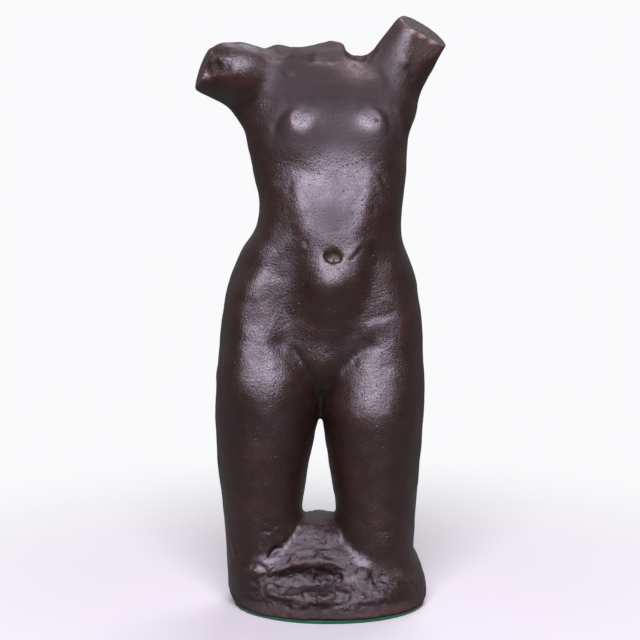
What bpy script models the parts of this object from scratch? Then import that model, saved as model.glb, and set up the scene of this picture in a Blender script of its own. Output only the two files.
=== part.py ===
"""A dark patinated ceramic torso of a standing woman, on its own low rough base, with a felt pad under it.

Metres, +Z up. The figure faces -Y, and the origin is the middle of the felt's underside.
The figure is one modelled piece: its masses are written as fields of distance, in millimetres, melted
into one another, and polygonised once. The arms and the underside are then cut flat.
"""

import bmesh
import bpy
import numpy as np
import openvdb
from mathutils import Vector

for leftover in list(bpy.data.objects):
    bpy.data.objects.remove(leftover)

MM = 0.001
CELL = 3.2  # side of the polygonised cells, in millimetres
FACES = 9000  # triangles that the figure is thinned to
SHORTEST_EDGE = 0.4  # shorter ones are closed up
CREASE = 0.7  # radians; a sharper bend is shaded as an edge

FELT_THICK = 2.0
GLUE_GAP = 0.3  # between the felt and the underside
UNDERSIDE = FELT_THICK + GLUE_GAP
FOOT_HALF_WIDTH = 74.0
FOOT_HALF_DEPTH = 62.0
FELT_INSET = 0.6  # the felt is trimmed this far inside the foot's edge
FELT_SIDES = 72
MIDDLE = -6.0  # of the pelvis
LOW = np.array([-112.0, -74.0, -8.0])  # corners of the block that the figure is carved in
HIGH = np.array([98.0, 80.0, 470.0])

# Horizontal sections: height, centre x, centre y, half-width, depth in front, depth behind, squareness.
TRUNK = (
    (151, -7, 5, 52, 20, 28, 2.1),  # floor of the pelvis, inside the thighs
    (166, -6.5, 4, 61, 29, 35, 2.2),
    (180, -6, 3, 69, 37, 41, 2.3),  # crotch
    (192, -6, 2.5, 74, 40.5, 44, 2.4),
    (204, -6, 2, 76, 40.5, 45, 2.6),
    (235, -5, 0, 73.5, 38, 42, 2.9),  # hips
    (250, -4.7, -1, 71, 37.5, 39, 3.0),
    (262, -4.5, -1, 67.5, 37.5, 36, 3.0),
    (277, -4, -1, 61, 37.5, 33, 2.9),  # navel
    (290, -1, 0, 55.5, 39.5, 32, 2.7),
    (308, 1.3, 3, 54, 41.2, 31.5, 2.6),  # waist
    (332, 0.7, 7, 57.5, 39, 34, 2.5),
    (342, -0.3, 8.5, 59, 38, 35, 2.45),  # foot of the ribs
    (351, -1.2, 9.5, 60, 36.7, 35.5, 2.35),
    (362, -1.8, 10.5, 62, 35, 36, 2.3),
    (376, -2.5, 12, 65, 34.5, 36, 2.2),  # breasts
    (394, -3, 14, 57, 36, 32, 2.2),
    (408, -5, 16, 46, 37.5, 27, 2.1),  # shoulders
    (418, -8, 17, 36, 36.5, 20, 2.0),
    (426, -13, 18, 24, 30, 12, 2.0),  # pit of the neck
)
RIGHT_THIGH = (  # the figure's right, at -X
    (10, -50, -3, 27, 33, 33, 2.1),
    (50, -50.5, -3, 29, 37, 34, 2.1),
    (80, -51, -3, 31, 40, 36, 2.1),  # above the knee
    (105, -51, -3, 34.2, 43.5, 39, 2.1),
    (130, -49, -3, 37.3, 47, 43, 2.1),
    (143, -48, -2.5, 38.8, 49, 45, 2.1),
    (155, -47.5, -2, 39.5, 51, 46, 2.1),
    (168, -47.8, -1.5, 39, 52.5, 45, 2.2),
    (181, -49, -1, 37, 51.5, 43.5, 2.5),
    (195, -50.5, -1, 33, 47.5, 38, 2.6),
    (209, -53, -1, 28, 43, 28, 2.6),
    (224, -54.5, -1, 24, 39.5, 18, 2.6),
    (240, -56, -1, 20, 36.5, 12, 2.6),
    (254, -53, -1, 16, 32.5, 9, 2.4),
    (266, -47, -1, 8, 26, 6, 2.2),  # runs out over the hip bone
)
LEFT_THIGH = (
    (10, 36, -7, 28, 34, 34, 2.1),
    (50, 35.5, -7, 30, 37, 35, 2.1),
    (80, 35.8, -7, 31, 39, 37, 2.1),
    (105, 35, -6, 34, 42.5, 40, 2.1),
    (130, 34, -5, 36.8, 46.5, 43, 2.1),
    (143, 33.7, -4.5, 38.0, 49, 45, 2.1),
    (155, 33.5, -4, 39.5, 50.5, 46, 2.1),
    (168, 34, -3, 39, 49, 45, 2.2),
    (181, 35.5, -2.5, 37, 45.5, 43.5, 2.3),
    (195, 38, -2, 32.5, 41.5, 38, 2.4),
    (209, 41, -2, 27, 38, 28, 2.5),
    (224, 43, -2, 23, 35, 18, 2.5),
    (240, 43, -2, 18, 31, 12, 2.4),
    (254, 40, -2, 10, 26, 6, 2.2),
)
GROUND = (
    (-8, 0, 0, 73.5, 61.5, 61.5, 2.0),
    (8, 0, 0, 75, 62.5, 62.5, 2.0),
    (20, -1, 0, 75, 61, 61, 2.0),
    (26, -2, 0, 74.5, 55, 59.5, 2.2),
    (32, -3, 1, 73.5, 50.5, 57, 2.5),
    (44, -5, 2, 66, 46, 48, 2.6),
    (54, -7, 3, 41, 39, 36, 2.4),
    (64, -8, 3, 24, 32, 24, 2.2),
    (69, -8, 3, 14, 25, 16, 2.0),
)

# Arms: shoulder and end, with the radius at each. Each end lies a little past its flat cut.
# The facets are flat places in front, where the clay was pared.
RIGHT_ARM = dict(
    start=(-50, 18, 399),
    end=(-104, 1, 412),
    wide=26,
    narrow=14.5,
    facets=(((-84, -13, 402), (0.12, -0.93, -0.34)), ((-46, -10, 404), (0.05, -0.99, -0.12))),
)
LEFT_ARM = dict(
    start=(43, 18, 397),
    end=(78, 19, 451),
    wide=25,
    narrow=20,
    facets=(((72.5, 3, 430), (0.5, -0.86, 0.1)), ((40, -8, 402), (-0.05, -0.99, -0.12))),
)
RIGHT_CUT = dict(at=(-94.5, 0, 412), facing=(-0.92, -0.18, 0.35))
LEFT_CUT = dict(at=(71.5, 19, 438.8), facing=(0.53, -0.22, 0.82))

# A long lump is left of the broken neck.
NECK_BREAK = dict(start=(-22, 17, 419), end=(1, 16, 422.5), wide=8, narrow=9.5)

# How far the joins between the masses are melted. The hips melt softly into the trunk between
# two distances from the middle, and the groins stay sharp.
JOINS = dict(between_thighs=3, groin=4, hip=18, arm=18, facet=9, neck=3, ground=6)
SOFT_HIPS = ((10, 0), (35, 1), (60, 1), (80, 0))

# Rounded masses: centre, radii, and how far the join to the body is melted.
MASSES = (
    ((-67, 1, 411), (25, 20, 20), 9),  # muscle over the right shoulder
    ((-42, 24, 195), (40, 35, 42), 12),  # buttocks
    ((30, 24, 193), (39, 35, 41), 12),
    ((-18, 18, 410), (26, 15, 14), 6),  # stump of the neck
    ((-38, 16, 419), (11, 9, 9.5), 4),
)

# Gentle swellings, and hollows where the height is negative: centre, reach each way, height.
SWELLINGS = (
    ((-23.5, -26, 366), (17, 18, 17), 8.5),  # breasts
    ((36, -25, 366), (17, 18, 17), 8.5),
    ((-22, -30, 376), (12, 14, 9), 2.8),
    ((34, -29, 376), (12, 14, 9), 2.8),
    ((0, -47, 253), (23, 24, 38), 12),  # belly
    ((22, -44, 270), (12, 24, 22), 5),
    ((-27, -48, 266), (8, 16, 26), -2.5),  # either side of it
    ((30, -46, 262), (8, 16, 24), -2),
    ((2, -52, 255), (18, 14, 10), 3),  # below the navel
    ((2.5, -50, 276.5), (5, 8, 4), -4),  # navel
    ((-14, -50, 33), (30, 14, 8), -5),  # hollow in front of the mound
    ((-8, -46, 43.5), (26, 12, 4), 1.5),  # its lip
    ((-7, -60, 19), (20, 10, 5), 2.5),  # crest along the front of the ground
    ((-54, -45, 36), (10, 12, 7), 3),  # lumps of clay at the foot of each leg
    ((22, -50, 35), (7, 12, 6), 4),
    ((59, -42, 30), (9, 12, 6), 3),
    ((-5, -42, 190), (14, 14, 16), 3),  # pubic mound
    ((-62, -34, 194), (14, 18, 24), 2),  # outside of the right thigh
    ((-30, 46, 372), (17, 16, 26), 4),  # shoulder blades
    ((34, 48, 370), (17, 16, 26), 4),
)
SPINE = ((-14, 42, 412), (0, 47, 380), (2, 42, 330), (0, 33, 295), (-5, 40, 240))
CLEFT = ((-6, 46, 228), (-6, 60, 205), (-6, 58, 180), (-6, 44, 160))
GROINS = (
    ((-37, -44, 210), (-28, -45, 204), (-18, -44, 192), (-10, -41, 179), (-5.5, -39, 174)),
    ((32, -43, 208), (14.5, -45, 197), (3, -43, 188), (-3, -40, 178), (-5.5, -39, 174)),
)
BETWEEN_THIGHS = ((-5.5, -42, 174), (-6, -38, 160), (-6, -30, 148))
GROOVES = (  # line, depth, half-width
    (SPINE, 4.0, 7),
    (CLEFT, 9.0, 6),
    (GROINS[0], 3.5, 5),
    (GROINS[1], 3.5, 5),
    (BETWEEN_THIGHS, 5.0, 5),
)


def smooth_rows(height, rows):
    """The columns of a table of sections at these heights, on smooth curves through its rows."""
    rows = np.array(rows, float)
    knots, values = rows[:, 0], rows[:, 1:]
    slopes = np.gradient(values, knots, axis=0)
    height = np.clip(height, knots[0], knots[-1])
    at = np.clip(np.searchsorted(knots, height) - 1, 0, len(knots) - 2)
    span = knots[at + 1] - knots[at]
    t = ((height - knots[at]) / span)[:, None]
    span = span[:, None]
    return (
        (1 + 2 * t) * (1 - t) ** 2 * values[at]
        + t * (1 - t) ** 2 * span * slopes[at]
        + t**2 * (3 - 2 * t) * values[at + 1]
        + t**2 * (t - 1) * span * slopes[at + 1]
    ).T


def lofted(points, rows):
    """Distance to a form whose horizontal sections are these rows."""
    centre_x, centre_y, half, front, back, square = smooth_rows(points[:, 2], rows)
    across, along = points[:, 0] - centre_x, points[:, 1] - centre_y
    depth = np.where(along < 0, front, back)
    share = ((np.abs(across) / half) ** square + (np.abs(along) / depth) ** square) ** (1 / square)
    reach = np.hypot(across, along)
    side = reach - reach / np.maximum(share, 1e-6)
    top, bottom = points[:, 2] - rows[-1][0], rows[0][0] - points[:, 2]
    return np.maximum(side, np.maximum(top, bottom))


def ellipsoid(points, centre, radii):
    away = (points - centre) / radii
    share = np.linalg.norm(away, axis=1)
    return (share - 1) * share / np.maximum(np.linalg.norm(away / radii, axis=1), 1e-6)


def limb(points, start, end, wide, narrow, facets=()):
    """Distance to a round bar that narrows from one end to the other, pared flat at its facets."""
    start, line = np.array(start, float), np.subtract(end, start).astype(float)
    share = np.clip((points - start) @ line / (line @ line), 0, 1)
    nearest = start + share[:, None] * line
    bar = np.linalg.norm(points - nearest, axis=1) - (wide + (narrow - wide) * share)
    for at, facing in facets:
        bar = -melt(-bar, -((points - at) @ facing), JOINS["facet"])
    return bar


def melt(one, other, reach):
    """Two fields joined, with a fillet of about this reach between them."""
    share = np.clip(0.5 + 0.5 * (other - one) / reach, 0, 1)
    return other + (one - other) * share - reach * share * (1 - share)


def near(points, centre, reach):
    """1 at the centre, running out smoothly a reach away each way."""
    return np.exp(-(((points - centre) / reach) ** 2).sum(axis=1))


def near_line(points, line, width):
    """1 on a line through these points, running out smoothly to the sides."""
    closest = np.full(len(points), np.inf)
    for start, end in zip(line, line[1:]):
        closest = np.minimum(closest, limb(points, start, end, 0, 0))
    return np.exp(-((closest / width) ** 2))


def figure(points):
    """The whole figure with its ground, as one field of distances in millimetres."""
    thighs = melt(lofted(points, RIGHT_THIGH), lofted(points, LEFT_THIGH), JOINS["between_thighs"])
    softly = np.interp(np.abs(points[:, 0] - MIDDLE), *zip(*SOFT_HIPS))
    hips = JOINS["groin"] + (JOINS["hip"] - JOINS["groin"]) * softly
    body = melt(lofted(points, TRUNK), thighs, hips)
    for arm in (RIGHT_ARM, LEFT_ARM):
        body = melt(body, limb(points, **arm), JOINS["arm"])
    for centre, radii, reach in MASSES:
        body = melt(body, ellipsoid(points, centre, radii), reach)
    body = melt(body, limb(points, **NECK_BREAK), JOINS["neck"])
    body = melt(body, lofted(points, GROUND), JOINS["ground"])
    for centre, reach, height in SWELLINGS:
        body = body - height * near(points, centre, reach)
    for line, depth, width in GROOVES:
        body = body + depth * near_line(points, line, width)
    return body


def polygonised(field, low, high, cell):
    """Points and faces of the surface where the field is nought."""
    counts = np.ceil((high - low) / cell).astype(int) + 1
    axes = [start + cell * np.arange(count) for start, count in zip(low, counts)]
    points = np.stack(np.meshgrid(*axes, indexing="ij"), axis=-1).reshape(-1, 3)
    grid = openvdb.FloatGrid(background=cell)
    grid.copyFromArray(field(points).reshape(counts))
    places, quads = grid.convertToQuads()
    return places * cell + low, quads


def cut_flat(bm, at, facing):
    """Takes off what lies beyond a plane and closes the cut."""
    everything = bm.verts[:] + bm.edges[:] + bm.faces[:]
    cut = bmesh.ops.bisect_plane(
        bm, geom=everything, plane_co=Vector(at) * MM, plane_no=facing, clear_outer=True
    )
    rim = [part for part in cut["geom_cut"] if isinstance(part, bmesh.types.BMEdge)]
    bmesh.ops.triangle_fill(bm, edges=rim, use_beauty=True)


def material(name, colour, roughness):
    made = bpy.data.materials.new(name)
    made.use_nodes = True
    shader = made.node_tree.nodes["Principled BSDF"]
    shader.inputs["Base Color"].default_value = (*colour, 1)
    shader.inputs["Roughness"].default_value = roughness
    return made


def add(name, bm, finish):
    mesh = bpy.data.meshes.new(name)
    bmesh.ops.recalc_face_normals(bm, faces=bm.faces)
    bm.to_mesh(mesh)
    bm.free()
    mesh.materials.append(finish)
    made = bpy.data.objects.new(name, mesh)
    bpy.context.scene.collection.objects.link(made)
    return made


def thinned(places, quads, faces):
    """The same surface with about this many triangles, kept finest where it bends most."""
    mesh = bpy.data.meshes.new("rough")
    mesh.from_pydata(places * MM, [], quads)
    rough = bpy.data.objects.new("rough", mesh)
    bpy.context.scene.collection.objects.link(rough)
    thin = rough.modifiers.new("thin", "DECIMATE")
    thin.ratio = faces / (2 * len(quads))
    bm = bmesh.new()
    bm.from_object(rough, bpy.context.evaluated_depsgraph_get())
    bpy.data.objects.remove(rough)
    return bm


def torso():
    """The figure and its ground, in one piece."""
    bm = thinned(*polygonised(figure, LOW, HIGH, CELL), FACES)
    cut_flat(bm, **RIGHT_CUT)
    cut_flat(bm, **LEFT_CUT)
    cut_flat(bm, (0, 0, UNDERSIDE), (0, 0, -1))
    bmesh.ops.dissolve_degenerate(bm, edges=bm.edges, dist=SHORTEST_EDGE * MM)
    made = add("torso_statue", bm, material("patinated_ceramic", (0.045, 0.024, 0.020), 0.38))
    made.data.shade_smooth()
    made.data.set_sharp_from_angle(angle=CREASE)
    return made


def felt_pad():
    """A thin oval of felt under the foot."""
    bm = bmesh.new()
    bmesh.ops.create_circle(bm, cap_ends=True, radius=1, segments=FELT_SIDES)
    half = (FOOT_HALF_WIDTH - FELT_INSET, FOOT_HALF_DEPTH - FELT_INSET, 1)
    bmesh.ops.scale(bm, vec=Vector(half) * MM, verts=bm.verts)
    top = bmesh.ops.extrude_face_region(bm, geom=bm.faces[:])["geom"]
    raised = [part for part in top if isinstance(part, bmesh.types.BMVert)]
    bmesh.ops.translate(bm, vec=(0, 0, FELT_THICK * MM), verts=raised)
    return add("felt_pad", bm, material("green_felt", (0.012, 0.085, 0.045), 0.95))


torso()
felt_pad()
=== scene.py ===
import math

import bmesh
import bpy
import numpy as np
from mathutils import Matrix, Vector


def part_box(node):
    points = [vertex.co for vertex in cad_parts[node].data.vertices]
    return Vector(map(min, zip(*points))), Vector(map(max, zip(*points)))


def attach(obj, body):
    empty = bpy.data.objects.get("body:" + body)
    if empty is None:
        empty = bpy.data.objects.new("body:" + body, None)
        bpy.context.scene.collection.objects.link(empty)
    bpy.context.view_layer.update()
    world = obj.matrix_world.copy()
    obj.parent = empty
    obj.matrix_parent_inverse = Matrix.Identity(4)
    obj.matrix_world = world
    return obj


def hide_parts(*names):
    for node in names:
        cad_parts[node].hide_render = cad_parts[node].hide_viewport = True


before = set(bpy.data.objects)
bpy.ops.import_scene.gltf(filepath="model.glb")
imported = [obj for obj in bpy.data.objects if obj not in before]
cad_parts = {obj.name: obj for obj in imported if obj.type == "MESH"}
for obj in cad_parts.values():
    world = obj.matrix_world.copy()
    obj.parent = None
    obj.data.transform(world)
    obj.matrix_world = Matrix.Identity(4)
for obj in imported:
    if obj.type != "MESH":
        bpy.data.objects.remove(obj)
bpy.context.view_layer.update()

import openvdb
from mathutils import Vector

mm = 0.001  # the modelling below is in millimetres
print("frame loaded:", ", ".join(sorted(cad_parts)))


def linear(code):  # an sRGB hex colour as linear RGBA
    parts = [int(code[i : i + 2], 16) / 255 for i in (0, 2, 4)]
    return (*[c / 12.92 if c <= 0.04045 else ((c + 0.055) / 1.055) ** 2.4 for c in parts], 1)


def addNode(tree, kind, inputs=None, stops=(), **settings):
    # one node with its settings and links; an input is a plain value, a node, or one of its outputs
    node = tree.nodes.new(kind)
    for name, value in settings.items():
        setattr(node, name, value)
    for name, value in (inputs or {}).items():
        named = [s for s in node.inputs if s.enabled and s.name == name]
        socket = named[0] if named else node.inputs[name]
        if isinstance(value, bpy.types.Node):
            value = next(s for s in value.outputs if s.enabled)
        if isinstance(value, bpy.types.NodeSocket):
            tree.links.new(value, socket)
        else:
            socket.default_value = value
    for number, (place, colour) in enumerate(stops):  # of a colour ramp
        points = node.color_ramp.elements
        point = points[number] if number < 2 else points.new(1)
        point.position, point.color = place, linear(colour)
    return node


def linkObject(name, mesh):
    made = bpy.data.objects.new(name, mesh)
    bpy.context.scene.collection.objects.link(made)
    return made


def mergedSolid(node):
    # points in mm and triangles of a copy of a solid, with its doubles merged
    bm = bmesh.new()
    bm.from_mesh(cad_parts[node].data)
    bmesh.ops.remove_doubles(bm, verts=bm.verts, dist=0.01 * mm)
    bmesh.ops.triangulate(bm, faces=bm.faces)
    points = np.array([v.co for v in bm.verts]) / mm
    triangles = np.array([[v.index for v in face.verts] for face in bm.faces])
    bm.free()
    return points, triangles


torso = {
    "cell": 1.1,  # side of a cell of the clay
    "band": 8,  # cells either side of the surface that know their distance
    "soften": 1.9,  # how far the solid's flats are rubbed round
    "triangles": 192000,
    "seed": 11,
    "lumps": [(18, 0.19), (8, 0.1), (4, 0.05)],  # random hand work: size, height
    "arms": {  # where each arm was cut through, the way the cut faces, and the arm behind it
        "right": dict(at=(-94.5, 0, 412), facing=(-0.92, -0.18, 0.35), axis=(-54, -17, 13), radius=15.5),
        "left": dict(at=(71.5, 19, 438.8), facing=(0.53, -0.22, 0.82), axis=(35, 1, 54), radius=20.5),
    },
    "legs": [(-50.5, -3, 30, 37), (35.5, -7, 30.5, 37.5)],  # at the ground: centre, half-width, half-depth
    "toolCuts": [  # small flat cuts at random: how many, corners of where, size, depth
        (14, (-46, -26, 416), (30, 30, 440), (4, 7), 0.6),
    ],
    "creases": ((10, 8, 4.5), 0.3),  # of the rough ground: spacing, depth
    "runOut": 0.2,  # share of a stroke over which each of its ends fades
}
# Each ridge or groove is a line, its half-width and its height; a groove's height is minus. Each dab is
# a centre, its reach and its height. Points of two numbers are x and z on the front. A region's ragged
# is how far its strokes waver, and its sharp the power of their profile: 2 is round, and 1 has an edge.
rightArm = {
    "ragged": 0.35,
    "sharp": 1.4,
    "lines": [
        # upper lip of the chip, and its left end
        ([(-92, -11.5, 415), (-88, -12.8, 419), (-84, -13.8, 421.3), (-79, -15, 421), (-74, -16.5, 419)],
         1.5, 1.3),
        ([(-92.5, -10.5, 411), (-93, -10, 406), (-92.5, -8, 400)], 1.3, -0.9),
    ],
    "dabs": [((-81, -1, 430), (6, 9, 4), 2.6)],
}
leftArm = {
    "ragged": 0.15,
    "sharp": 2,
    "lines": [
        ([(38, -5, 414), (43, -9, 406), (46.5, -11, 396)], 5, -0.9),
        ([(58, -3, 416), (60, -2, 410), (63, 0, 402)], 2.5, -0.7),
    ],
    "dabs": [((58, 0, 417), (7, 6, 5), 1.2)],
}
neck = {
    "ragged": 0.3,
    "sharp": 1.6,
    "lines": [
        ([(-47, 0, 424.5), (-40, 4, 425.5), (-33, -4, 425)], 2.6, 0.8),
        ([(-29, -13, 422), (-28, -4, 425), (-27, 8, 426), (-26, 18, 427)], 2.2, -1.8),
        ([(-24, -4, 425), (-14, 6, 428), (-2, 11, 430.5), (3, 11, 431)], 2.8, 0.8),
        ([(-42, -6, 421), (-34, -10, 421), (-26, -13, 421.5)], 1.6, -1.3),
        ([(-26, -13, 421.5), (-12, -20, 420), (0, -21, 420), (8, -18, 419.5)], 1.6, -1.2),
        ([(-25, -9, 425), (-12, -14, 424.5), (-2, -12, 426)], 1.8, 0.9),
        ([(9, -14, 421), (18, -12, 418.5), (27, -10, 413)], 2.4, 0.6),
    ],
    "dabs": [((0.8, 12, 431.5), (2.8, 3.5, 2), 1.2), ((8.5, 12, 428), (5, 6, 4.5), 3.2)],
}
chest = {
    "ragged": 0.1,
    "sharp": 2,
    "lines": [
        ([(48, 386), (51, 380), (52.5, 372), (52.5, 363), (51, 356)], 3.0, 0.9),
        # folds over the breasts
        ([(-40, 360), (-40.5, 368), (-37, 377), (-30, 384.5), (-22, 387), (-14, 386), (-7, 380)], 4.2, -1.5),
        ([(19, 379), (24, 384.5), (31, 386.5), (38, 384), (43.5, 377), (45, 369), (44, 360)], 3.8, -1.4),
        ([(-37, 409.5), (-33, 406.5), (-28.5, 405)], 1.0, -0.4),
        ([(-35, 405.5), (-31, 407.5), (-29, 410)], 0.9, -0.3),
    ],
    "dabs": [((36, 375), (1.5, 1.5), -0.7), ((-48, 367), (1.3, 1.3), -0.6)],
}
belly = {
    "ragged": 0.15,
    "sharp": 2,
    "lines": [
        ([(25, 283), (20, 277), (14, 271)], 1.3, -0.7),  # fold beside the navel
        ([(14, 271), (8, 267.5), (1, 267), (-5, 270)], 1.0, -0.5),
        ([(23, 286), (17, 279), (12, 274)], 2.4, 0.35),
        ([(-22, 338), (-24, 320), (-22, 302), (-18, 286)], 6, 0.9),  # the flat of the belly ends here
        ([(29, 340), (30, 322), (25, 304), (19, 290)], 6, 0.9),
        ([(31, 337), (36, 330), (39, 320)], 2.4, 0.4),
        ([(33, 338), (39, 330), (42, 321)], 2.0, -0.4),
        ([(13, 306), (21, 306)], 0.9, -0.4),
        ([(1, 294), (10, 294)], 0.9, -0.4),
    ],
    "dabs": [
        ((-17, 285), (1.5, 2.5), -0.5),
        ((2.6, 275), (9, 7.5), -0.5),  # round the navel
    ],
}
thighs = {
    "ragged": 0.15,
    "sharp": 2,
    "lines": [
        ([(-31, 210), (-22, 198), (-13, 182), (-7, 172)], 3.2, -0.8),  # groins
        ([(28, 208), (15, 195), (4, 183), (-4, 172)], 3.2, -0.8),
        ([(-5.5, 174), (-5.5, 160), (-6, 150)], 2.2, -1.2),
        ([(26, 226), (34, 229), (45, 231), (52, 234)], 2.6, -0.35),  # hip on the left
        ([(27, 221), (36, 224), (46, 226)], 3.2, 0.35),
        ([(-72, 128), (-67, 128), (-67, 121), (-57, 120)], 0.9, -0.4),  # scratches
        ([(-51, 66.4), (-47, 66.8), (-44, 64.6)], 1.1, -0.8),
        ([(33, 67.5), (41, 66.6), (48, 67)], 0.9, -0.6),
    ],
    "dabs": [
        ((32, 173), (1.5, 1.3), -0.5),
        ((40, 193), (1.3, 1.3), -0.5),
        ((-2, 203), (1.2, 1.2), -0.5),
    ],
}
ground = {
    "ragged": 0.45,
    "sharp": 1.3,
    "lines": [
        # the band against the right leg, and the layers of the lump at its foot
        ([(-20, -8, 66), (-27, -26, 55.5), (-33, -34, 49), (-42, -38, 44.5), (-52, -40, 40), (-62, -37, 35)],
         4.2, 0.8),
        ([(-58.5, -38.6, 30.2), (-50.8, -41.8, 34.2), (-44.8, -40.6, 37.8)], 1.1, 0.6),
        ([(-56.5, -40.5, 29), (-49.5, -43, 32.6), (-44, -42.3, 36)], 1.0, -0.7),
        ([(-54.7, -40.8, 28), (-48.5, -42.9, 31), (-44, -42.9, 33.3)], 1.1, 0.6),
        ([(-68, -31.5, 39), (-60, -37.3, 40.5), (-53.5, -39.5, 42)], 1.1, -0.7),
        ([(-68, -32, 36.5), (-60, -37.6, 38), (-54, -39.8, 39.5)], 1.0, -0.6),
        # cracks and edges of the mound
        ([(-10, -20, 67), (-8, -26, 62), (-6.5, -31, 58), (-7.5, -35, 53)], 1.3, -2.0),
        ([(-7.5, -35, 53), (-10, -38, 50), (-11.6, -40, 48)], 1.3, -1.8),
        ([(-10, -40, 48.5), (-16, -40, 47.5), (-25, -40, 45)], 1.3, -1.6),
        ([(-2.4, -28.3, 52.4), (-4, -33.5, 49.1)], 1.0, -0.8),
        ([(-50, -44, 33), (-40, -43, 36.5), (-31, -42, 40), (-21, -41.8, 42.2), (-11, -41.8, 43.6)],
         2.0, 1.7),
        ([(-14, -41.8, 43.6), (-4, -41.5, 44), (3, -42.2, 42.6), (9, -43.5, 40), (15, -46, 36.5)], 2.0, 2.1),
        ([(-8, -7, 67.5), (-3, -6, 68.5), (4, -8, 66.5)], 2.2, 0.9),
        # the ragged crest along the front, and the folds under it
        ([(-50, -46, 22), (-42, -50.5, 20), (-34, -54.6, 18.5), (-27, -57, 19.5), (-20, -58, 22)], 1.8, 2.2),
        ([(-21, -58, 22), (-17.5, -58.2, 23.6), (-15, -60, 20.5), (-12, -61.4, 18.8)], 1.5, 2.6),
        ([(-13, -61.2, 19), (-8, -61.5, 20.2), (-3, -61.5, 19.6), (1.5, -60.7, 20.8), (5, -59, 23.3)],
         1.6, 2.8),
        ([(5, -59, 23.3), (7.6, -57.5, 24.6), (12, -58, 23.3), (17, -57.5, 21)], 1.6, 2.4),
        ([(-50, -47, 16.5), (-36, -54, 15), (-28, -58, 14.5), (-18, -61, 15)], 1.9, -1.6),
        ([(-18, -61, 15), (-7, -62.7, 14.3), (2, -62.6, 14.6), (12, -60, 16), (22, -58, 17)], 1.8, -1.8),
        ([(-31, -56.7, 14.4), (-25, -59, 15.6), (-19, -61, 14.6)], 1.1, 0.7),
        ([(17, -59, 17), (26, -57.5, 16), (33, -55, 16.5)], 1.5, 0.9),
        ([(14, -59, 13.4), (30, -56, 13), (44, -50, 12.6), (58, -38, 13)], 1.7, -0.9),
        ([(-58, -40, 13), (-45, -50, 12.2), (-30, -57.4, 11.5), (-14, -61.4, 11.8), (2, -62.4, 11.5)],
         1.4, -0.8),
        # foot of the left leg
        ([(29, -45.6, 35.3), (34.4, -46.8, 30.6), (45, -44.3, 27.4), (56, -39, 25.2), (63.5, -29.6, 24.2)],
         1.5, -1.3),
        ([(33, -49.5, 29.5), (45, -46, 24.5), (56.5, -40.5, 22.6), (65, -31, 22)], 1.6, 0.9),
        ([(55, -40, 26), (61, -34, 26.5), (66, -26, 27.5)], 2.4, 1.2),
        ([(-74, -20, 60), (-73, -26, 50), (-71, -29, 40)], 2.4, 0.9),
    ],
    "dabs": [
        ((-54, -40, 36), (8, 7, 5), 1.8),  # lumps
        ((24.5, -47, 35.5), (6, 6, 5), 2.6),
        ((16, -50, 32), (5, 4, 3), 1.0),
        ((40, -51.4, 16.7), (5, 4, 5), 1.0),
        ((-17, -20, 59), (8, 8, 7), 1.6),
        ((-1, -26, 53), (7, 7, 6), 1.2),
        ((-18, -36, 47), (7, 6, 3.5), 1.2),
    ],
}
neckLump = dict(at=(10.4, -4, 424), facing=(0.97, -0.1, 0.2), centre=(18, 9, 427), reach=19)
armFacet = dict(at=(60, -1, 430), facing=(0.42, -0.9, 0.06), centre=(76, 0, 434), reach=30)
armEdge = [(59, -0.5, 440.5), (70, 4.2, 435), (80, 8.4, 430), (84, 10.2, 427.5)]  # worn, over the facet
armChip = dict(at=(-83, -13.2, 414.5), facing=(-0.38, -0.92, 0.1), centre=(-83, -14, 414.5), reach=16)
ripples = dict(centre=(-86, -13, 416), radii=(8.5, 10.5, 12.5), turns=(-55, 50), width=0.8, height=0.3)
facets = [  # flats that catch the light: where, the way each faces, reach, depth, how soft the edge is
    ((-17, 376), (-0.05, -0.9, 0.44), 13, 1.1, 2.5),  # breasts
    ((28, 374), (0.05, -0.9, 0.44), 13, 1.1, 2.5),
    ((24, -48, 36), (0, -0.9, 0.44), 8, 1.2, 0.6),  # lumps of the ground
    ((-54, -42, 33), (-0.15, -0.95, 0.26), 11, 0.6, 1.0),
    ((-38, -38, 45), (-0.1, -0.8, 0.6), 10, 0.6, 0.8),
]
scoops = [  # bitten out of the clay: centre, radii, how soft the edge is
    ((-18, -46.5, 32), (29, 4.8, 9.5), 0.8),  # hollow of the ground
    ((2.6, 275), (6.6, 2.8, 4.8), 0.6),  # navel
]
clay = {}  # the cells, each holding its distance to the surface, minus inside


def blockOf(points, triangles):
    cell, band = torso["cell"], torso["band"]
    grid = openvdb.FloatGrid.createLevelSetFromPolygons(
        points, triangles=triangles, transform=openvdb.createLinearTransform(cell), halfWidth=band
    )
    low, high = np.floor(points.min(0) / cell) - band - 1, np.ceil(points.max(0) / cell) + band + 2
    clay["low"] = low * cell
    field = np.empty((high - low).astype(int), np.float32)
    grid.copyToArray(field, ijk=tuple(int(n) for n in low))
    return field.astype(float)


def smoothed(field, reach):
    # a Gaussian blur whose reach is in mm, one for all three ways or one for each
    spectrum = np.fft.rfftn(field)
    for axis, count in enumerate(field.shape):
        turns = np.fft.rfftfreq(count) if axis == 2 else np.fft.fftfreq(count)
        fade = np.exp(-2 * (math.pi * turns * np.broadcast_to(reach, 3)[axis] / torso["cell"]) ** 2)
        spectrum *= fade.reshape([-1 if axis == k else 1 for k in range(3)])
    return np.fft.irfftn(spectrum, field.shape, axes=(0, 1, 2))


def cellsIn(low, high):
    # the cells between two corners, and their x, y and z
    cell = torso["cell"]
    first = np.maximum(np.floor((np.array(low) - clay["low"]) / cell).astype(int), 0)
    last = np.minimum(np.ceil((np.array(high) - clay["low"]) / cell).astype(int) + 1, clay["field"].shape)
    axes = [clay["low"][k] + cell * np.arange(first[k], last[k]) for k in range(3)]
    return tuple(slice(a, b) for a, b in zip(first, last)), np.ix_(*axes)


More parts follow.
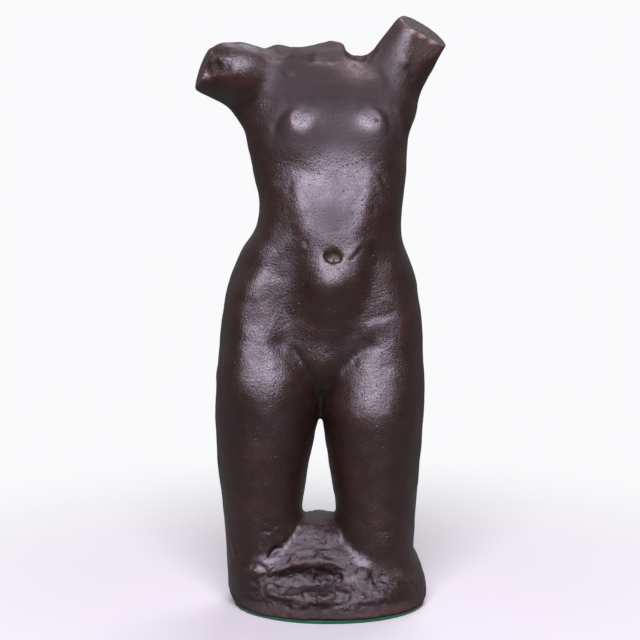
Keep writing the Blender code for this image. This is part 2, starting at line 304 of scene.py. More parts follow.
def grain(size, number):
    # smooth random lumps of this size, in mm, with a spread of 1
    loose = np.random.default_rng(torso["seed"] + number).standard_normal(clay["field"].shape)
    lumps = smoothed(loose, size * 0.5) - smoothed(loose, size)
    return lumps / lumps.std()


def ease(value, start, end):
    share = np.clip((value - start) / (end - start), 0, 1)
    return share * share * (3 - 2 * share)


def fieldAt(field, points):
    # the value of a field of cells at points between them
    at = (points - clay["low"]) / torso["cell"]
    first = np.clip(np.floor(at).astype(int), 0, np.array(field.shape) - 2)
    share = at - first
    total = 0
    for corner in np.ndindex(2, 2, 2):
        weight = np.prod(np.where(np.array(corner) == 1, share, 1 - share), axis=1)
        total = total + weight * field[tuple((first + corner).T)]
    return total


def slopeAt(points):
    # the way out of the clay
    ahead = np.eye(3) * 0.8
    steps = [fieldAt(clay["field"], points + way) - fieldAt(clay["field"], points - way) for way in ahead]
    slope = np.stack(steps, axis=-1)
    return slope / np.maximum(np.linalg.norm(slope, axis=-1, keepdims=True), 1e-6)


def onSurface(line):
    # points of two numbers meet the clay from the front, and all are brought onto it
    line = np.array(line, float)
    if line.shape[1] == 2:
        deep = np.arange(-70, 10, 0.5)
        columns = [np.stack([0 * deep + x, deep, 0 * deep + z], axis=1) for x, z in line]
        line = np.array([c[np.argmax(fieldAt(clay["field"], c) < 0)] for c in columns])
    for turn in range(4):
        line = line - slopeAt(line) * np.clip(fieldAt(clay["field"], line), -2, 2)[:, None]
    return line


def dab(centre, reach, height):
    # a soft lump, or a hollow where the height is minus
    centre, reach = onSurface([centre])[0], np.array(reach, float)
    if len(reach) == 2:
        reach = np.insert(reach, 1, max(reach))
    cut, (x, y, z) = cellsIn(centre - 2.4 * reach, centre + 2.4 * reach)
    away = ((x - centre[0]) / reach[0]) ** 2 + ((y - centre[1]) / reach[1]) ** 2
    clay["field"][cut] -= height * np.exp(-away - ((z - centre[2]) / reach[2]) ** 2)


def stroke(line, width, height, ragged=0.0, sharp=2):
    # a ridge along a line, or a groove where the height is minus, running out at its ends
    line = np.array(line, float)
    steps = np.linalg.norm(np.diff(line, axis=0), axis=1)
    places = np.concatenate([[0], np.cumsum(steps)])
    wanted = np.linspace(0, places[-1], int(places[-1] / 3) + 2)
    line = onSurface(np.stack([np.interp(wanted, places, column) for column in line.T], axis=1))
    room = 2.6 * width + 1
    cut, (x, y, z) = cellsIn(line.min(0) - room, line.max(0) + room)
    part = clay["field"][cut]
    nearest, along = np.full(part.shape, 1e4), np.zeros(part.shape)
    for number, (start, end) in enumerate(zip(line, line[1:])):
        way = end - start
        step = max(np.linalg.norm(way), 1e-6)
        way = way / step
        here = tuple(
            (axis.ravel() > low - room) & (axis.ravel() < high + room)
            for axis, low, high in zip((x, y, z), np.minimum(start, end), np.maximum(start, end))
        )
        nearX, nearY, nearZ = x[here[0]] - start[0], y[:, here[1]] - start[1], z[:, :, here[2]] - start[2]
        share = np.clip(nearX * way[0] + nearY * way[1] + nearZ * way[2], 0, step)
        away = (nearX - share * way[0]) ** 2 + (nearY - share * way[1]) ** 2 + (nearZ - share * way[2]) ** 2
        place = np.ix_(*here)
        closer = away < nearest[place]
        along[place] = np.where(closer, (number + share / step) / (len(line) - 1), along[place])
        nearest[place] = np.minimum(nearest[place], away)
    nearest = np.sqrt(nearest) * (1 + ragged * np.clip(clay["waver"][cut], -2, 2)) / width
    taper = ease(along, -0.02, torso["runOut"]) * ease(along, 1.02, 1 - torso["runOut"])
    clay["field"][cut] = part - height * np.exp(-(nearest**sharp)) * taper


def pare(at, facing, centre, reach, soft=1.0):
    # cuts to a plane, inside a ball round a centre
    facing = np.array(facing, float) / np.linalg.norm(facing)
    cut, (x, y, z) = cellsIn(np.array(centre) - reach, np.array(centre) + reach)
    plane = (x - at[0]) * facing[0] + (y - at[1]) * facing[1] + (z - at[2]) * facing[2]
    away = np.sqrt((x - centre[0]) ** 2 + (y - centre[1]) ** 2 + (z - centre[2]) ** 2)
    away = away * (1 + 0.04 * clay["waver"][cut])
    bite(cut, plane, soft, ease(away, reach, 0.6 * reach))


def bite(cut, other, soft, share=1):
    # takes off what is outside another field of distances
    part = clay["field"][cut]
    mix = np.clip(0.5 + 0.5 * (part - other) / soft, 0, 1)
    taken = other + (part - other) * mix + soft * mix * (1 - mix)
    clay["field"][cut] = part + (taken - part) * share


def scoop(centre, radii, soft):
    if len(centre) == 2:
        centre = onSurface([centre])[0]
    cut, (x, y, z) = cellsIn(np.subtract(centre, radii) - 3, np.add(centre, radii) + 3)
    away = [((axis - middle) / radius) for axis, middle, radius in zip((x, y, z), centre, radii)]
    share = np.sqrt(away[0] ** 2 + away[1] ** 2 + away[2] ** 2)
    steep = np.sqrt(sum((a / radius) ** 2 for a, radius in zip(away, radii)))
    inside = (share - 1) * share / np.maximum(steep, 1e-6) + 0.35 * clay["waver"][cut]
    bite(cut, -inside, soft)


def lengthen(start, end, wide, narrow):
    # joins a round tapering bar to the clay
    start, end = np.array(start, float), np.array(end, float)
    low, high = np.minimum(start, end) - wide - 6, np.maximum(start, end) + wide + 6
    cut, (x, y, z) = cellsIn(low, high)
    line = end - start
    share = ((x - start[0]) * line[0] + (y - start[1]) * line[1] + (z - start[2]) * line[2]) / (line @ line)
    share = np.clip(share, 0, 1)
    away = (x - start[0] - share * line[0]) ** 2 + (y - start[1] - share * line[1]) ** 2
    away = np.sqrt(away + (z - start[2] - share * line[2]) ** 2) - (wide + (narrow - wide) * share)
    clay["field"][cut] = np.minimum(clay["field"][cut], away)


def groundShare(x, y, z):
    # 1 on the rough ground in front, less at the sides, 0 on the smooth legs and above
    front = 0.3 + 0.7 * ease(np.abs(x + 8), 62, 47)
    onLegs = 0
    for centreX, centreY, half, deep in torso["legs"]:
        share = np.sqrt(((x - centreX) / half) ** 2 + ((y - centreY) / deep) ** 2)
        onLegs = np.maximum(onLegs, ease(share, 1.16, 1.04))
    return ease(z, 76, 68) * (1 - onLegs * ease(z, 26, 36)) * front


def cutWithTool(points, triangles):
    # small flat cuts at random over the broken neck
    random = np.random.default_rng(torso["seed"])
    corners = points[triangles]
    sizes = np.linalg.norm(np.cross(corners[:, 1] - corners[:, 0], corners[:, 2] - corners[:, 0]), axis=1)
    middles = corners.mean(axis=1)
    for count, low, high, reach, depth in torso["toolCuts"]:
        inside = np.all((middles > low) & (middles < high), axis=1)
        picked = random.choice(len(middles), count, p=sizes * inside / sizes[inside].sum())
        weights = random.dirichlet((1, 1, 1), count)[:, :, None]
        places = onSurface((corners[picked] * weights).sum(axis=1))
        facings = slopeAt(places) + random.normal(0, 0.2, (count, 3))
        for at, facing in zip(places, facings):
            size, deep = random.uniform(*reach), depth * random.uniform(0.3, 1)
            facing = facing / np.linalg.norm(facing)
            pare(at - deep * facing, facing, at, size, soft=0.5)


def sculptTorso():
    points, triangles = mergedSolid("torso_statue")
    clay["field"] = blockOf(points, triangles)
    for arm in torso["arms"].values():
        at, axis = np.array(arm["at"], float), np.array(arm["axis"], float)
        axis = axis / np.linalg.norm(axis)
        lengthen(at - 8 * axis, at + 9 * axis, arm["radius"], arm["radius"] - 1)
    clay["field"] = smoothed(clay["field"], torso["soften"])
    clay["waver"] = grain(3.0, 9)
    print("clay block:", clay["field"].shape)

    cutWithTool(points, triangles)
    pare(**armChip, soft=0.4)
    for place in scoops:
        scoop(*place)
    for place, facing, reach, deep, soft in facets:
        middle = onSurface([place])[0]
        facing = np.array(facing) / np.linalg.norm(facing)
        pare(middle - deep * facing, facing, middle, reach, soft)
    for region in (rightArm, leftArm, neck, chest, belly, thighs, ground):
        for line, width, height in region["lines"]:
            stroke(line, width, height, ragged=region["ragged"], sharp=region["sharp"])
        for centre, reach, height in region["dabs"]:
            dab(centre, reach, height)
    x, y, z = ripples["centre"]
    for reach in ripples["radii"]:  # round the end of the chip in the right arm
        turns = np.radians(np.linspace(*ripples["turns"], 8))
        arc = [(x + reach * math.cos(t), y, z + 0.5 * reach * math.sin(t)) for t in turns]
        stroke(arc, ripples["width"], ripples["height"])

    cut, (x, y, z) = cellsIn(clay["low"], clay["low"] + 1e4)
    rough = groundShare(x, y, z)
    for number, (size, height) in enumerate(torso["lumps"]):
        clay["field"] += height * (1 + 0.6 * rough) * grain(size, number)
    clay["field"] += 0.15 * rough * grain(2.4, 5)
    spacing, depth = np.array(torso["creases"][0]), torso["creases"][1]
    # the first painted-shade spot lies over the hollow of the ground, which is kept free of torn creases
    centre, reach, _ = spots["paintedShade"][0]
    paintedShade = np.exp(-sum(((axis - c) / r) ** 2 for axis, c, r in zip((x, y, z), centre, reach)))
    torn = np.abs(grain(spacing, 6)) + 0.4 * np.abs(grain(0.45 * spacing, 7))
    clay["field"] += depth * rough * (1 - paintedShade) * ease(z, 11, 16) * (torn - 1)

    for arm in torso["arms"].values():
        pare(arm["at"], arm["facing"], np.array(arm["at"]) + 8 * np.array(arm["facing"]), 70, soft=0.6)
    pare(**armFacet, soft=0.8)
    pare(**neckLump, soft=1.2)
    stroke(armEdge, 0.9, 1.0, ragged=0.3)


def carvedMesh(name):
    # the surface of the clay
    grid = openvdb.FloatGrid(background=torso["cell"] * torso["band"])
    grid.copyFromArray(clay["field"])
    points, quads = grid.convertToQuads()
    points = points * torso["cell"] + clay["low"]
    mesh = bpy.data.meshes.new(name)
    mesh.from_pydata(points * mm, [], quads.tolist())
    mesh.shade_smooth()
    return mesh


# Where the surface is not plain slip: name, then centre, reach and amount of each spot.
spots = {
    "dust": [
        ((-40, -6, 418.5), (7, 5, 3.5), 1.0),
        ((-7, -22, 418.5), (6, 4, 2.5), 1.0),
        ((20, -15, 412), (12, 8, 8), 1.0),
        ((2, -21, 417), (10, 5, 2.5), 0.7),
        ((30, -13, 409), (7, 6, 6), 0.7),
        ((62, 0.5, 439.6), (3.5, 2.5, 1.6), 0.9),  # worn edge of the left arm
        ((69, 3.8, 436), (4.5, 2.5, 2), 0.9),
        ((78, 7.5, 431.5), (4.5, 2.5, 2), 0.9),
        ((-31, -19, 408), (4, 3, 2), 0.5),
        ((-24, -35, 47.5), (7, 6, 6), 0.5),
        ((16, -50, 32), (5, 4, 2.5), 0.6),
    ],
    "bare": [
        ((72, 1, 428), (12, 8, 13), 0.8),
        ((66, 0, 415), (6, 6, 8), 0.5),
        ((-9, 10, 427), (24, 16, 4), 0.5),
        ((-97, 0, 412), (5, 16, 16), 0.6),
        ((76, 19, 444), (22, 22, 6), 0.6),
    ],
    "moss": [
        ((-4, -14.5, 62), (5, 4, 4), 0.8),
        ((-28, -33, 49), (4, 4, 4), 0.4),
        ((3, -45, 274.5), (5.5, 20, 4), 1.0),  # in the navel
    ],
    # rust-red clay at the chip of the right arm, and painted shade in the crescents over the breasts
    "rustAndPaintedShade": [
        ((-92.5, -10, 406), (2, 4, 6), 1.0),
        ((-84, -14, 407), (10, 6, 5), 0.3),
        # painted shade: dark crescents over the breasts
        ((-22, -22, 386), (12, 12, 4), 0.8),
        ((31, -18, 386), (11, 12, 3.5), 0.8),
    ],
    # painted shade: dark spots in the hollow of the ground, between the thighs, beside the right leg and in
    # the chip of the right arm
    "paintedShade": [
        ((-16, -47, 31), (32, 14, 10), 1.0),
        ((-5.5, -10, 168), (6, 12, 12), 0.6),
        ((-38, -36, 47), (10, 10, 6), 0.5),
        ((-83, -14, 416), (9, 6, 4), 0.8),
    ],
    "dull": [((2, -45, 303), (17, 20, 16), 0.5), ((6, -45, 328), (8, 20, 10), 0.35)],
    "polished": [
        ((-21, -30, 374.5), (12, 14, 8), 1.0),
        ((29, -28, 374), (11, 14, 8), 1.0),
        ((24.5, -49, 35.5), (6, 6, 5), 0.8),
    ],
}


def markSurface(mesh):
    # attributes that the material reads
    points = np.empty(len(mesh.vertices) * 3)
    mesh.vertices.foreach_get("co", points)
    points = points.reshape(-1, 3) / mm
    x, y, z = points.T
    marks = {"ground": groundShare(x, y, z), "rim": ease(z, 13, 10)}
    for name, places in spots.items():
        amount = 0
        for centre, reach, height in places:
            amount = np.maximum(amount, height * np.exp(-(((points - centre) / reach) ** 2).sum(axis=1)))
        marks[name] = amount
    onChest = (0.75 * ease(z, 342, 362) + 0.25 * ease(z, 376, 392)) * ease(np.abs(x - 2), 62, 30)
    marks["dull"] = np.maximum(onChest * (1 - np.minimum(marks["polished"] * 1.3, 1)), marks["dull"])
    # how far each point lies in a hollow, which the material turns into painted shade
    marks["hollow"] = fieldAt(clay["field"], points) - fieldAt(smoothed(clay["field"], 2.2), points)
    for name, amount in marks.items():
        layer = mesh.attributes.get(name) or mesh.attributes.new(name, "FLOAT", "POINT")
        layer.data.foreach_set("value", amount.astype(np.float32))


def nodeGroup(name, inputs):
    # a Geometry Nodes tree with named inputs: (name, kind of socket, value)
    tree = bpy.data.node_groups.new(name, "GeometryNodeTree")
    tree.interface.new_socket("Geometry", in_out="INPUT", socket_type="NodeSocketGeometry")
    for label, kind, value in inputs:
        socket = tree.interface.new_socket(label, in_out="INPUT", socket_type="NodeSocket" + kind)
        if value is not None:
            socket.default_value = value
    tree.interface.new_socket("Geometry", in_out="OUTPUT", socket_type="NodeSocketGeometry")
    return tree, addNode(tree, "NodeGroupInput").outputs


def grown(made, tree, values, triangles=None):
    # runs a tree on an object, thins the result if need be, and keeps it as the object's plain mesh
    nodes = made.modifiers.new(tree.name, "NODES")
    nodes.node_group = tree
    for socket in tree.interface.items_tree:
        if socket.in_out == "INPUT" and socket.name in values:
            nodes[socket.identifier] = values[socket.name]
    if triangles:
        thin = made.modifiers.new("thin", "DECIMATE")
        thin.ratio = triangles / (2 * len(made.data.polygons))
    graph = bpy.context.evaluated_depsgraph_get()
    result = bpy.data.meshes.new_from_object(
        made.evaluated_get(graph), preserve_all_data_layers=True, depsgraph=graph
    )
    made.modifiers.clear()
    old, made.data = made.data, result
    bpy.data.meshes.remove(old)


handWork = {  # sizes and heights in mm
    "Grain size": 3.2,
    "Grain height": 0.10,
    "Pit spacing": 7.0,
    "Pit depth": 0.28,
    "Grit size": 2.2,
    "Grit height": 0.8,
    "Seed": 4.0,
}


def handWorkTree():
    # fine marks of the hand that follow the surface: grain all over, pits here and there, grit on the ground
    inputs = [(name, "Float", value) for name, value in handWork.items()] + [("Finish", "Material", None)]
    tree, given = nodeGroup("hand_work", inputs)
    place = addNode(tree, "GeometryNodeInputPosition")
    inMm = addNode(tree, "ShaderNodeVectorMath", {0: place, "Scale": 1 / mm}, operation="SCALE")
    finest = addNode(tree, "ShaderNodeMath", {0: 1.0, 1: given["Grain size"]}, operation="DIVIDE")
    grainNoise = addNode(
        tree,
        "ShaderNodeTexNoise",
        {"Vector": inMm, "W": given["Seed"], "Scale": finest, "Detail": 2.0},
        noise_dimensions="4D",
    )
    grainRise = addNode(tree, "ShaderNodeMath", {0: grainNoise, 1: 0.5}, operation="SUBTRACT")
    grainRise = addNode(
        tree, "ShaderNodeMath", {0: grainRise, 1: given["Grain height"]}, operation="MULTIPLY"
    )

    apart = addNode(tree, "ShaderNodeMath", {0: 1.0, 1: given["Pit spacing"]}, operation="DIVIDE")
    pits = addNode(
        tree,
        "ShaderNodeTexVoronoi",
        {"Vector": inMm, "Scale": apart, "W": given["Seed"]},
        voronoi_dimensions="4D",
    )
    chance = addNode(tree, "FunctionNodeSeparateColor", {0: pits.outputs["Color"]})
    some = addNode(tree, "ShaderNodeMath", {0: chance.outputs[0], 1: 0.8}, operation="GREATER_THAN")
    bowl = addNode(
        tree, "ShaderNodeMapRange", {0: pits.outputs["Distance"], 1: 0.05, 2: 0.24, 3: 1.0, 4: 0.0}
    )
    bowl = addNode(tree, "ShaderNodeMath", {0: bowl, 1: some}, operation="MULTIPLY")
    pitRise = addNode(tree, "ShaderNodeMath", {0: bowl, 1: given["Pit depth"]}, operation="MULTIPLY")
    rise = addNode(tree, "ShaderNodeMath", {0: grainRise, 1: pitRise}, operation="SUBTRACT")

    gritty = addNode(tree, "ShaderNodeMath", {0: 1.0, 1: given["Grit size"]}, operation="DIVIDE")
    gritNoise = addNode(
        tree, "ShaderNodeTexNoise", {"Vector": inMm, "Scale": gritty, "Detail": 3.0, "Roughness": 0.6}
    )
    gritRise = addNode(tree, "ShaderNodeMath", {0: gritNoise, 1: 0.5}, operation="SUBTRACT")
    gritRise = addNode(tree, "ShaderNodeMath", {0: gritRise, 1: given["Grit height"]}, operation="MULTIPLY")
    coarse = 0.0
    for name, amount in (("ground", 0.4), ("rim", 0.45), ("dust", 0.7), ("bare", 0.3)):
        mark = addNode(tree, "GeometryNodeInputNamedAttribute", {"Name": name}, data_type="FLOAT")
        mark = addNode(tree, "ShaderNodeMath", {0: mark, 1: amount}, operation="MULTIPLY")
        coarse = addNode(tree, "ShaderNodeMath", {0: coarse, 1: mark}, operation="MAXIMUM")
    gritRise = addNode(tree, "ShaderNodeMath", {0: gritRise, 1: coarse}, operation="MULTIPLY")
    rise = addNode(tree, "ShaderNodeMath", {0: rise, 1: gritRise}, operation="ADD")
    inMetres = addNode(tree, "ShaderNodeMath", {0: rise, 1: mm}, operation="MULTIPLY")

    facing = addNode(tree, "GeometryNodeInputNormal")
    offset = addNode(tree, "ShaderNodeVectorMath", {0: facing, "Scale": inMetres}, operation="SCALE")
    moved = addNode(tree, "GeometryNodeSetPosition", {"Geometry": given["Geometry"], "Offset": offset})
    whole = addNode(tree, "GeometryNodeRealizeInstances", {0: moved})
    finished = addNode(tree, "GeometryNodeSetMaterial", {"Geometry": whole, "Material": given["Finish"]})
    addNode(tree, "NodeGroupOutput", {0: finished})
    return tree


def keptInside(mesh, low, high):
    points = np.empty(len(mesh.vertices) * 3)
    mesh.vertices.foreach_get("co", points)
    points = np.clip(points.reshape(-1, 3), low, high)
    mesh.vertices.foreach_set("co", points.ravel())
    mesh.update()


def buildTorso(finish):
    sculptTorso()
    mesh = carvedMesh("torso")
    markSurface(mesh)
    made = linkObject("ceramic_torso", mesh)
    grown(made, handWorkTree(), {**handWork, "Finish": finish}, torso["triangles"])
    markSurface(made.data)
    keptInside(made.data, *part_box("torso_statue"))
    print("torso carved:", len(made.data.polygons), "faces")
    return made


glaze = {
    "noises": {  # size in mm, detail, roughness
        "clouds": (34, 4.0, 0.6),
        "mottle": (5, 5.0, 0.65),
        "specks": (1.6, 3.0, 0.7),
        "breath": (14, 4.0, 0.6),
        "grit": (1.9, 4.0, 0.7),
        "coarse": (2.4, 5.0, 0.75),
    },
    "streaks": (18, 4, 1.6),  # of the brush: length, depth and width in mm
    "grains": 2.2,  # pale grains of the ground, mm apart
    "pits": 3.6,  # mm apart
    "brown": [(0.32, "33221B"), (0.5, "3E261D"), (0.66, "472C1F")],
    "mottled": [(0.3, "C8C8C8"), (0.5, "FFFFFF"), (0.72, "FFF0E0")],
    # painted shade, by how deep in a hollow each point lies
    "paintedCavityShade": [(0.0, "FFF4EE"), (0.35, "C2BCBA"), (0.5, "BCB6B4"), (1.0, "787270")],
    "brushed": [(0.3, "D4CEC8"), (0.5, "ECE9E6"), (0.7, "FFFEFA")],
    "upwardGrey": "574C47",
    "paleGrain": "7E6862",
    "tones": [  # of each marked place, and the specks between which it comes in
        ("dull", "402E27", 0.20, 0.60),
        ("ground", "34231E", 0.30, 0.62),
        ("rim", "4E352C", 0.35, 0.60),
        # rust red, which also serves as painted shade over the breasts
        ("rustAndPaintedShade", "4C1E12", 0.15, 0.50),
        # painted shade, near black, for the painted-shade spots
        ("paintedShade", "26140F", 0.15, 0.50),
        ("bare", "62493F", 0.30, 0.60),
        ("moss", "90865F", 0.25, 0.50),
        ("dust", "B4A69E", 0.30, 0.58),
    ],
    "gloss": (0.31, 0.45),  # roughness of plain slip, from and to
    "glossOf": [  # and of each marked place
        ("polished", 0.32),
        ("dull", 0.85),
        ("ground", 0.34),
        ("paintedShade", 0.32),
        ("rim", 0.7),
        ("bare", 0.6),
        ("dust", 0.8),
    ],
    "heights": {"grit": 0.44, "pit": -0.22, "plainStreak": 0.03, "brushedStreak": 0.14, "coarse": 0.8},  # mm
}


def waxedSlip():
    # Fired clay, brushed with dark iron-brown slip and waxed: brown that goes from reddish to olive,
    # under a broad satin gloss that the pitted grain breaks up, and that dulls on bare clay and dust.
    made = bpy.data.materials.new("waxed_iron_slip_on_fired_clay")
    made.use_nodes = True
    tree = made.node_tree
    shader = tree.nodes["Principled BSDF"]
    shader.inputs["Specular IOR Level"].default_value = 1.0
    place = addNode(tree, "ShaderNodeTexCoord").outputs["Object"]
    inMm = addNode(tree, "ShaderNodeVectorMath", {0: place, "Scale": 1 / mm}, operation="SCALE")
    marks = {
        name: addNode(tree, "ShaderNodeAttribute", attribute_name=name).outputs["Fac"]
        for name in ("ground", "rim", "dust", "bare", "moss", "rustAndPaintedShade", "paintedShade", "dull", "polished", "hollow")
    }
    noises = {
        name: addNode(
            tree,
            "ShaderNodeTexNoise",
            {"Vector": inMm, "Scale": 1 / size, "Detail": detail, "Roughness": roughness},
        )
        for name, (size, detail, roughness) in glaze["noises"].items()
    }
    heights = glaze["heights"]

    tone = addNode(tree, "ShaderNodeValToRGB", {0: noises["clouds"]}, stops=glaze["brown"])
    mottled = addNode(tree, "ShaderNodeValToRGB", {0: noises["mottle"]}, stops=glaze["mottled"])
    tone = addNode(
        tree, "ShaderNodeMix", {0: 0.55, 6: tone, 7: mottled}, data_type="RGBA", blend_type="MULTIPLY"
    )

    # grey is mixed in the more a surface faces up
    facing = addNode(tree, "ShaderNodeNewGeometry").outputs["Normal"]
    upward = addNode(tree, "ShaderNodeSeparateXYZ", {0: facing}).outputs["Z"]
    upwardGrey = addNode(tree, "ShaderNodeMapRange", {0: upward, 1: 0.25, 2: 0.95, 3: 0.0, 4: 0.5})
    tone = addNode(tree, "ShaderNodeMix", {0: upwardGrey, 6: tone, 7: linear(glaze["upwardGrey"])}, data_type="RGBA")

    for name, colour, low, high in glaze["tones"]:
        patchy = addNode(tree, "ShaderNodeMapRange", {0: noises["specks"], 1: low, 2: high, 3: 0.25, 4: 1.0})
        share = addNode(
            tree, "ShaderNodeMath", {0: marks[name], 1: patchy}, operation="MULTIPLY", use_clamp=True
        )
        tone = addNode(tree, "ShaderNodeMix", {0: share, 6: tone, 7: linear(colour)}, data_type="RGBA")
    # pale grains show through on the ground and its rim
    grains = addNode(tree, "ShaderNodeTexVoronoi", {"Vector": inMm, "Scale": 1 / glaze["grains"]})
    dots = addNode(
        tree, "ShaderNodeMapRange", {0: grains.outputs["Distance"], 1: 0.12, 2: 0.3, 3: 0.4, 4: 0.0}
    )
    gritty = addNode(tree, "ShaderNodeMath", {0: marks["ground"], 1: marks["rim"]}, operation="MAXIMUM")
    gritty = addNode(
        tree, "ShaderNodeMath", {0: gritty, 1: marks["paintedShade"]}, operation="SUBTRACT", use_clamp=True
    )
    dots = addNode(tree, "ShaderNodeMath", {0: dots, 1: gritty}, operation="MULTIPLY")
    tone = addNode(
        tree, "ShaderNodeMix", {0: dots, 6: tone, 7: linear(glaze["paleGrain"])}, data_type="RGBA"
    )
    # painted shade: the hollows and creases are darkened, and convex edges are left lighter
    deep = addNode(tree, "ShaderNodeMapRange", {0: marks["hollow"], 1: -0.45, 2: 0.5, 3: 0.0, 4: 1.0})
    paintedCavityShade = addNode(tree, "ShaderNodeValToRGB", {0: deep}, stops=glaze["paintedCavityShade"])
    tone = addNode(
        tree, "ShaderNodeMix", {0: 1.0, 6: tone, 7: paintedCavityShade}, data_type="RGBA", blend_type="MULTIPLY"
    )
    # brush streaks across, in the dull places and the painted-shade spots most of all
    perMm = tuple(1 / size for size in glaze["streaks"])
    along = addNode(tree, "ShaderNodeVectorMath", {0: inMm, 1: perMm}, operation="MULTIPLY")
    streaks = addNode(tree, "ShaderNodeTexNoise", {"Vector": along, "Scale": 1.0, "Detail": 2.0})
    brushed = addNode(tree, "ShaderNodeMath", {0: marks["dull"], 1: marks["paintedShade"]}, operation="MAXIMUM")
    streakTone = addNode(tree, "ShaderNodeValToRGB", {0: streaks}, stops=glaze["brushed"])
    tone = addNode(
        tree, "ShaderNodeMix", {0: brushed, 6: tone, 7: streakTone}, data_type="RGBA", blend_type="MULTIPLY"
    )
    tree.links.new(tone.outputs[2], shader.inputs["Base Color"])

    smooth, rough = glaze["gloss"]
    gloss = addNode(tree, "ShaderNodeMapRange", {0: noises["breath"], 1: 0.3, 2: 0.7, 3: smooth, 4: rough})
    for name, roughness in glaze["glossOf"]:
        gloss = addNode(tree, "ShaderNodeMix", {0: marks[name], 2: gloss, 3: roughness}, data_type="FLOAT")
    tree.links.new(gloss.outputs[0], shader.inputs["Roughness"])

    # grain of the clay, small pits in some of the cells, brush streaks, and coarser grain on the ground
    grit = addNode(tree, "ShaderNodeMath", {0: noises["grit"], 1: heights["grit"]}, operation="MULTIPLY")
    holes = addNode(tree, "ShaderNodeTexVoronoi", {"Vector": inMm, "Scale": 1 / glaze["pits"]})
    chance = addNode(tree, "ShaderNodeSeparateColor", {0: holes.outputs["Color"]})
    some = addNode(tree, "ShaderNodeMath", {0: chance, 1: 0.68}, operation="GREATER_THAN")
    bowl = addNode(
        tree,
        "ShaderNodeMapRange",
        {0: holes.outputs["Distance"], 1: 0.06, 2: 0.24, 3: heights["pit"], 4: 0.0},
    )
    bowl = addNode(tree, "ShaderNodeMath", {0: bowl, 1: some}, operation="MULTIPLY")
    height = addNode(tree, "ShaderNodeMath", {0: grit, 1: bowl}, operation="ADD")
    brushed = addNode(
        tree,
        "ShaderNodeMapRange",
        {0: brushed, 1: 0.0, 2: 1.0, 3: heights["plainStreak"], 4: heights["brushedStreak"]},
    )
    streaks = addNode(tree, "ShaderNodeMath", {0: streaks, 1: brushed}, operation="MULTIPLY")
    height = addNode(tree, "ShaderNodeMath", {0: height, 1: streaks}, operation="ADD")
    coarse = addNode(tree, "ShaderNodeMath", {0: noises["coarse"], 1: marks["ground"]}, operation="MULTIPLY")
    coarse = addNode(tree, "ShaderNodeMath", {0: coarse, 1: heights["coarse"]}, operation="MULTIPLY")
    height = addNode(tree, "ShaderNodeMath", {0: height, 1: coarse}, operation="ADD")
    bump = addNode(tree, "ShaderNodeBump", {"Strength": 1.0, "Distance": mm, "Height": height})
    tree.links.new(bump.outputs[0], shader.inputs["Normal"])
    return made


torsoPiece = buildTorso(waxedSlip())
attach(torsoPiece, "root")
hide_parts("torso_statue")


felt = {
    "halfWidth": 73.2,  # mm, as the others here
    "halfDepth": 61.2,
    "thick": 2.15,
    "wander": 0.35,  # of the edge, cut with shears
    "segments": 320,
}
fuzz = {  # fibres on the cut edge: how many to the square metre, and their sizes in metres
    "Density": 1.6e6,
    "Length": 0.0013,
    "Thickness": 0.00012,
    "Lean": 0.9,
    "Seed": 7,
}


def feltMesh():
    turns = np.linspace(0, 2 * math.pi, felt["segments"], endpoint=False)
    wander = sum(np.sin(n * turns + n * n) / n**0.5 for n in (5, 9, 16, 27)) * felt["wander"] / 2
    # the section, from the middle below to the middle above: share of the width, share of the height
    rows = [(0.5, 0), (0.93, 0), (1, 0.12), (1, 0.5), (1, 0.88), (0.93, 1), (0.5, 1)]
    points = []
    for share, height in rows:
        edge = wander + 0.25 * math.sin(math.pi * height) if share == 1 else 0
        across = (felt["halfWidth"] * share + edge) * np.cos(turns)
        along = (felt["halfDepth"] * share + edge) * np.sin(turns)
        points.append(np.stack([across, along, 0 * turns + height * felt["thick"]], axis=1))
    count, last = len(turns), len(rows) * len(turns)
    after = np.roll(np.arange(count), -1)
    faces = []
    for row in range(len(rows) - 1):
        low, high = row * count, (row + 1) * count
        faces += [(low + n, low + after[n], high + after[n], high + n) for n in range(count)]
    faces += [(last, after[n], n) for n in range(count)]
    faces += [(last + 1, last - count + n, last - count + after[n]) for n in range(count)]
    places = np.vstack(points + [[(0, 0, 0), (0, 0, felt["thick"])]]) * mm
    mesh = bpy.data.meshes.new("felt")
    mesh.from_pydata(places, [], [[int(n) for n in face] for face in faces])
    mesh.shade_smooth()
    return mesh


